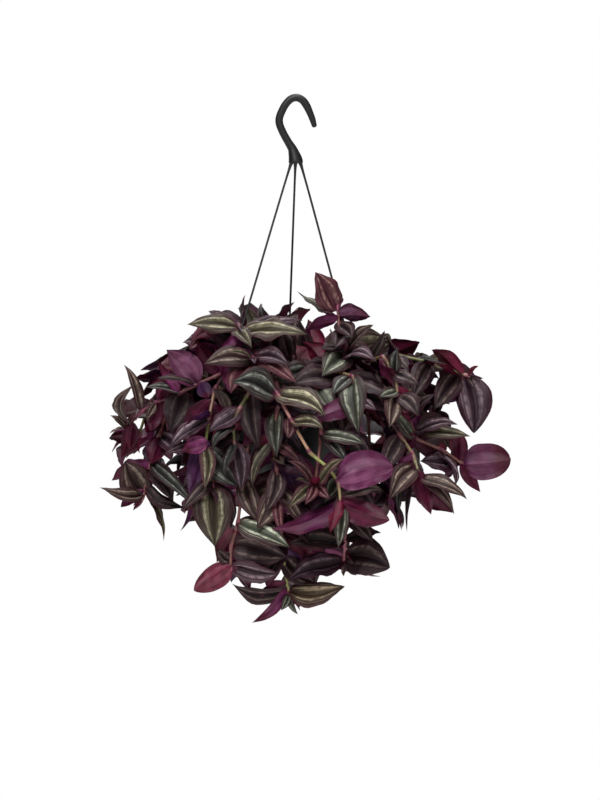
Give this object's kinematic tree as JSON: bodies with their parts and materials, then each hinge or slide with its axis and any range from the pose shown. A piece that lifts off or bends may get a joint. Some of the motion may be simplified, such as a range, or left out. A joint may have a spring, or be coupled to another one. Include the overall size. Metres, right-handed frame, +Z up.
{
  "type": "hanging potted tradescantia",
  "caption": "Hanging plastic pot with a hook and straps, its rim hidden by spilling leafy stems of purple striped inch plant.",
  "frame": {"origin": "inside top of the hook, where the plant hangs", "axes": "+Z up, -Y towards the front of the plant, +X to its right seen from the front"},
  "size_m": [0.4143, 0.3401, 0.5319],
  "materials": {
    "pot_plastic": "satin black moulded plastic",
    "hanger_plastic": "matte black moulded plastic",
    "soil": "moist crumbly compost",
    "foliage": "soft satin leaves, dark purple-brown and silver striped above and magenta below"
  },
  "bodies": {
    "root": {"pot": "pot_plastic", "soil": "soil", "hanger": "hanger_plastic", "stem_bottom_left": "foliage", "stem_bottom_mid": "foliage", "stem_bottom_right": "foliage", "stem_centre": "foliage", "stem_centre_left": "foliage", "stem_crown_16": "foliage", "stem_crown_17": "foliage", "stem_crown_18": "foliage", "stem_front_inner": "foliage", "stem_front_right": "foliage", "stem_hang_1": "foliage", "stem_hang_2": "foliage", "stem_hang_3": "foliage", "stem_hang_4": "foliage", "stem_hang_5": "foliage", "stem_hang_6": "foliage", "stem_left_front": "foliage", "stem_left_high": "foliage", "stem_left_low": "foliage", "stem_long_front": "foliage", "stem_right_high": "foliage", "stem_right_low": "foliage", "stem_right_mid": "foliage", "stem_spread_10": "foliage", "stem_spread_11": "foliage", "stem_spread_12": "foliage", "stem_spread_13": "foliage", "stem_spread_14": "foliage", "stem_spread_15": "foliage", "stem_top_19": "foliage", "stem_top_20": "foliage", "stem_top_21": "foliage", "stem_top_right": "foliage", "stem_trail_7": "foliage", "stem_trail_8": "foliage", "stem_trail_9": "foliage", "stem_upper_right": "foliage"}
  },
  "joints": []
}
